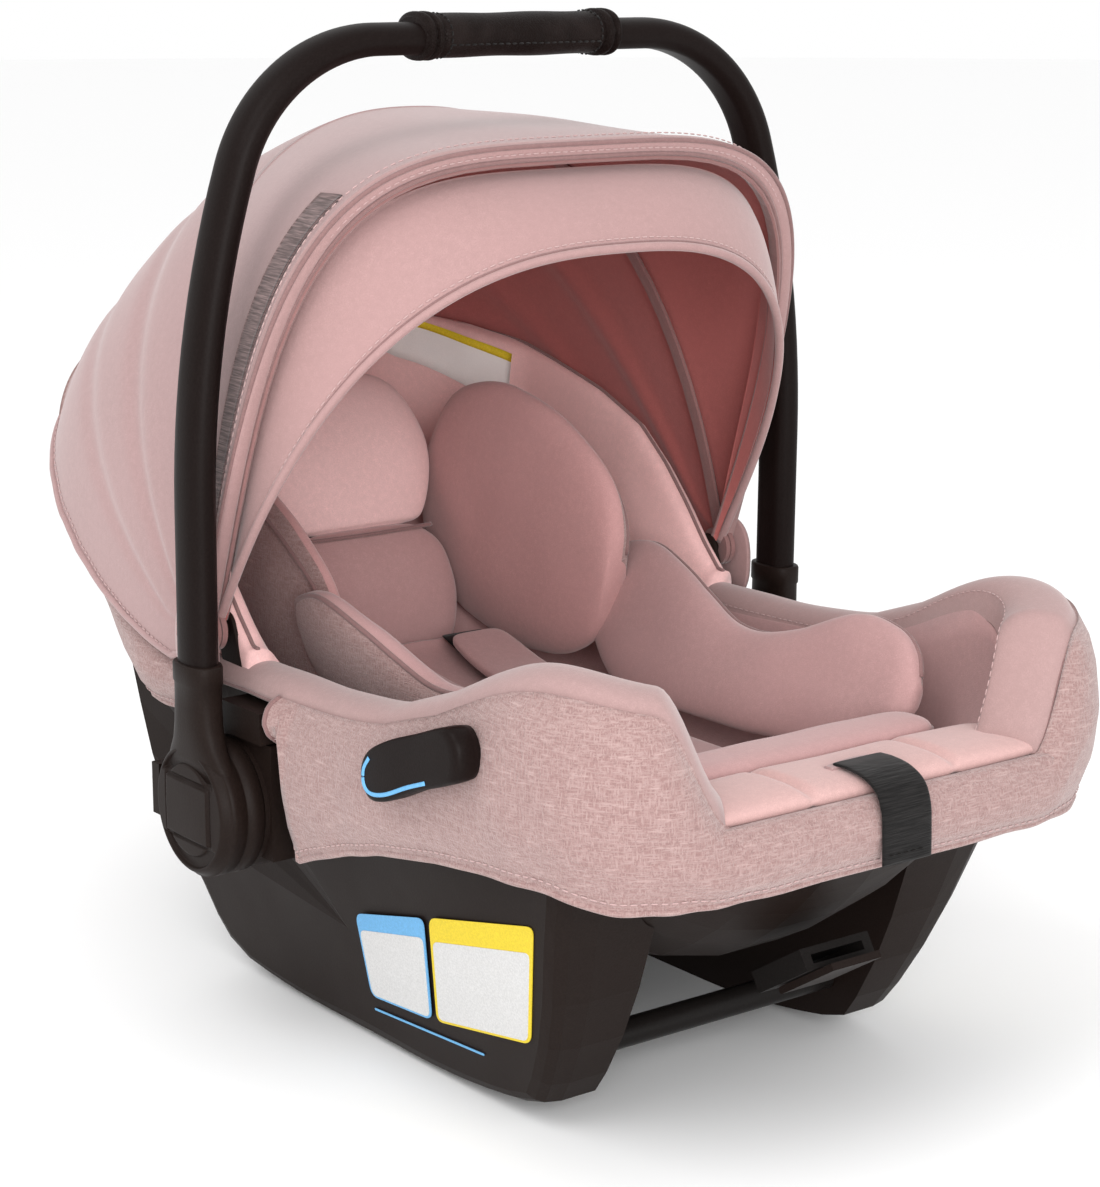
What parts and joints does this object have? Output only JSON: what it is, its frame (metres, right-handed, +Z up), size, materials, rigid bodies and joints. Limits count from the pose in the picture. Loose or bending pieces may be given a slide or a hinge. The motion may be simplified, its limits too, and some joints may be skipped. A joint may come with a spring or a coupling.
{
  "type": "infant car seat",
  "caption": "Infant car seat: padded bucket on two rocker rails, with a turning carry handle, a folding canopy with visor, an infant insert and a buckled harness.",
  "frame": {"origin": "on the floor, under the middle of the seat's bounding box", "axes": "+Z up, -Y toward the foot end, +Y toward the head end, +X toward the child's left"},
  "size_m": [0.4412, 0.6593, 0.5792],
  "materials": {
    "hard_plastic": "satin, fine texture",
    "bow_plastic": "matte",
    "steel": "satin",
    "smooth_fabric": "smooth soft knit",
    "heather_fabric": "slubby woven melange",
    "foam": "moulded bead foam",
    "webbing": "ribbed webbing",
    "leatherette": "grained, stitched",
    "button_red": "satin",
    "trim_blue": "satin",
    "label": "printed film"
  },
  "bodies": {
    "carrier": {"bucket": "hard_plastic", "side_panel_right": "hard_plastic", "side_panel_left": "hard_plastic", "foam_liner": "foam", "front_bar": "steel", "rear_bar": "steel", "hub_mount_right": "hard_plastic", "hub_mount_left": "hard_plastic", "hub_pin_right": "steel", "hub_pin_left": "steel", "lock_gear_right": "steel", "lock_gear_left": "steel", "canopy_bracket_right": "hard_plastic", "canopy_bracket_left": "hard_plastic", "belt_guide_right": "hard_plastic", "belt_guide_left": "hard_plastic", "guide_trim": "trim_blue", "skirt": "heather_fabric", "rim_band": "smooth_fabric", "front_lip": "smooth_fabric", "seat_cover": "smooth_fabric", "insert_pad": "smooth_fabric", "insert_bolster_right": "smooth_fabric", "insert_bolster_left": "smooth_fabric", "leg_roll": "smooth_fabric", "head_pillow": "smooth_fabric", "head_wing_right": "smooth_fabric", "head_wing_left": "smooth_fabric", "harness_straps": "webbing", "shoulder_pads": "smooth_fabric", "crotch_strap": "webbing", "buckle": "hard_plastic", "buckle_tongues": "steel", "adjuster_strap": "webbing", "adjuster_housing": "steel", "splitter_plate": "steel", "release_bezel": "hard_plastic", "label_panels": "label", "mount_screws": "steel", "canopy_rear_panel": "smooth_fabric"},
    "handle": {"handle_tube": "hard_plastic", "grip": "leatherette", "grip_rings": "leatherette", "hub_housing_right": "hard_plastic", "hub_housing_left": "hard_plastic", "hub_plate_right": "hard_plastic", "hub_plate_left": "hard_plastic", "button_springs": "steel"},
    "hub_button_right": {"hub_button_right": "hard_plastic"},
    "hub_button_left": {"hub_button_left": "hard_plastic"},
    "rear_bow": {"rear_bow": "bow_plastic", "canopy_front_panel": "smooth_fabric"},
    "front_bow": {"front_bow": "bow_plastic"},
    "visor": {"visor_bow": "bow_plastic", "visor": "smooth_fabric"},
    "buckle_button": {"buckle_button": "button_red"},
    "adjuster_lever": {"adjuster_lever": "hard_plastic"},
    "release_handle": {"release_handle": "hard_plastic"}
  },
  "joints": [
    {"name": "handle_pivot", "type": "hinge", "parent": "carrier", "child": "handle", "pos_m": [0, 0.015, 0.1465], "axis": [1, 0, 0], "range_deg": [-105, 0]},
    {"name": "hub_button_right_slide", "type": "slide", "parent": "handle", "child": "hub_button_right", "axis": [0, -1, 0], "range_m": [0, 0.004], "stiffness_N_per_m": 400, "springref_m": -0.004},
    {"name": "hub_button_left_slide", "type": "slide", "parent": "handle", "child": "hub_button_left", "axis": [0, -1, 0], "range_m": [0, 0.004], "stiffness_N_per_m": 400, "springref_m": -0.004},
    {"name": "canopy_rear_bow", "type": "hinge", "parent": "carrier", "child": "rear_bow", "pos_m": [0, 0.04, 0.24], "axis": [1, 0, 0], "range_deg": [-46, 0], "deforming": ["canopy_rear_panel"]},
    {"name": "canopy_front_bow", "type": "hinge", "parent": "rear_bow", "child": "front_bow", "pos_m": [0, 0.04, 0.24], "axis": [1, 0, 0], "range_deg": [-15, 0], "deforming": ["canopy_front_panel"]},
    {"name": "visor_fold", "type": "hinge", "parent": "front_bow", "child": "visor", "pos_m": [0, 0.04, 0.24], "axis": [1, 0, 0], "range_deg": [-13, 0]},
    {"name": "buckle_button_slide", "type": "slide", "parent": "carrier", "child": "buckle_button", "axis": [0, 0.0698, -0.9976], "range_m": [0, 0.003], "stiffness_N_per_m": 500, "springref_m": -0.004},
    {"name": "adjuster_lever_hinge", "type": "hinge", "parent": "carrier", "child": "adjuster_lever", "pos_m": [0, -0.2539, 0.0759], "axis": [1, 0, 0], "range_deg": [0, 20], "stiffness_Nm_per_rad": 0.3, "springref_deg": -20.05},
    {"name": "release_handle_slide", "type": "slide", "parent": "carrier", "child": "release_handle", "axis": [0, 0.3746, 0.9272], "range_m": [0, 0.02], "stiffness_N_per_m": 300, "springref_m": -0.01}
  ]
}
